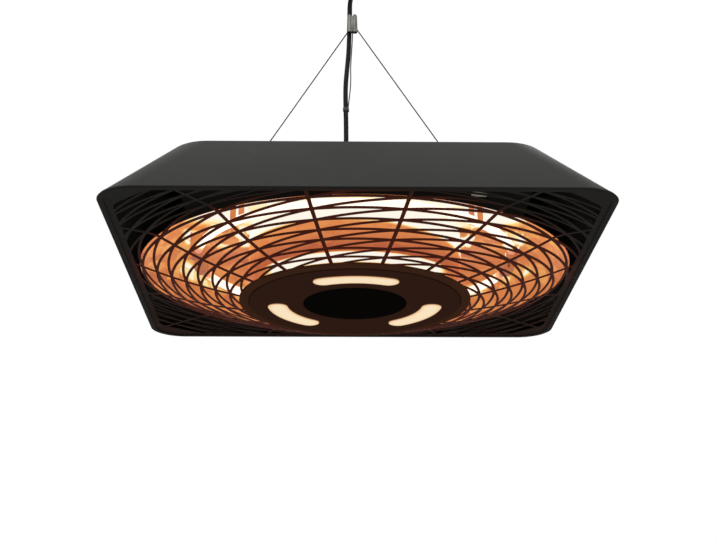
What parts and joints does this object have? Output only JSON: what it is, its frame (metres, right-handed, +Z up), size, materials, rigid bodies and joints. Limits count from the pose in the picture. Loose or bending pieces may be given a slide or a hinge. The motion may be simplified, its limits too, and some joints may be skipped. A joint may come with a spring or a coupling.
{
  "type": "infrared heater",
  "caption": "Square ceiling-hung infrared heater: sloped dark pan, swirl-slotted domed grille, ring lamps, round light unit, steel-wire bridle with gripper, black cable.",
  "frame": {"origin": "centre of the ceiling plate's top face, where the fitting meets the ceiling", "axes": "+Z up into the ceiling, +X to the right of the picture, +Y away from its camera"},
  "size_m": [0.6, 0.6, 0.5279],
  "materials": {
    "dark_enamel": "matt dark grey enamel",
    "grille_enamel": "matt heat-proof black-brown enamel",
    "collar_enamel": "satin black enamel",
    "canopy_enamel": "matt dark grey enamel",
    "sheet_steel": "plain galvanised sheet",
    "blackened_steel": "sheet steel darkened by heat",
    "zinc": "bright zinc plate",
    "black_plastic": "fine-grained black plastic",
    "black_gloss": "smoked black receiver cap",
    "led_diffuser": "frosted warm white diffuser",
    "circuit_board": "green circuit board",
    "reflector_aluminium": "polished and lightly crinkled",
    "quartz_glass": "clear quartz, lit from inside",
    "glowing_filament": "glowing carbon band",
    "white_ceramic": "unglazed white ceramic",
    "lead_silicone": "white heat-proof sleeving",
    "grey_plastic": "moulded grey plastic",
    "cream_plastic": "moulded cream plastic",
    "brass": "plain brass",
    "nickel": "satin nickel plate",
    "wire_steel": "twisted steel wire",
    "ferrule_aluminium": "pressed aluminium ferrule",
    "tie_plastic": "grey nylon",
    "cable_black": "smooth black cable sheath",
    "boot_rubber": "soft dark grey rubber"
  },
  "bodies": {
    "ceiling_fitting": {"ceiling_plate": "zinc", "canopy_cup": "canopy_enamel", "canopy_screws": "zinc", "ceiling_hook": "zinc", "hook_nut": "zinc", "cable_boot": "boot_rubber", "canopy_terminal": "cream_plastic", "canopy_lead": "cable_black"},
    "suspension": {"suspension_wire": "wire_steel", "loop_ferrule": "ferrule_aluminium", "gripper_body": "nickel", "left_bridle_wire": "wire_steel", "right_bridle_wire": "wire_steel", "bridle_barrel_ends": "nickel", "wire_tail": "wire_steel", "cable_tie": "tie_plastic", "power_cable": "cable_black"},
    "left_nipple": {"left_release_nipple": "nickel"},
    "right_nipple": {"right_release_nipple": "nickel"},
    "heater": {"anchor_blocks": "nickel", "anchor_nuts": "zinc", "centre_cap": "black_gloss", "centre_collar": "collar_enamel", "control_board": "circuit_board", "control_box": "grey_plastic", "control_box_lid": "grey_plastic", "cord_grip": "grey_plastic", "earth_nut": "brass", "earth_stud": "brass", "filament_back": "glowing_filament", "filament_front": "glowing_filament", "gland_body": "black_plastic", "gland_lock_nut": "black_plastic", "gland_nut": "black_plastic", "grille": "grille_enamel", "grille_clips": "blackened_steel", "heat_shield": "blackened_steel", "heating_lamp_back": "quartz_glass", "heating_lamp_front": "quartz_glass", "housing_shell": "dark_enamel", "hub_drum": "sheet_steel", "inner_cable": "cable_black", "internal_leads": "lead_silicone", "lamp_clips": "sheet_steel", "lamp_ends": "white_ceramic", "lamp_holders": "sheet_steel", "led_boards": "circuit_board", "led_diffusers": "led_diffuser", "light_cover": "black_plastic", "lower_standoffs": "blackened_steel", "receiver_board": "circuit_board", "reflector_dish": "reflector_aluminium", "terminal_block": "cream_plastic", "thermal_cutout": "cream_plastic", "upper_standoffs": "blackened_steel"}
  },
  "joints": [
    {"name": "ceiling_swing", "type": "hinge", "parent": "ceiling_fitting", "child": "suspension", "pos_m": [0, 0, -0.042], "axis": [0, 1, 0], "range_deg": [-20, 20]},
    {"name": "heater_tilt", "type": "hinge", "parent": "suspension", "child": "heater", "pos_m": [0.003, 0, -0.382], "axis": [1, 0, 0], "range_deg": [-15, 15]},
    {"name": "left_release", "type": "slide", "parent": "suspension", "child": "left_nipple", "axis": [0, 0, -1], "range_m": [0, 0.0018], "stiffness_N_per_m": 400},
    {"name": "right_release", "type": "slide", "parent": "suspension", "child": "right_nipple", "axis": [0, 0, -1], "range_m": [0, 0.0018], "stiffness_N_per_m": 400}
  ]
}
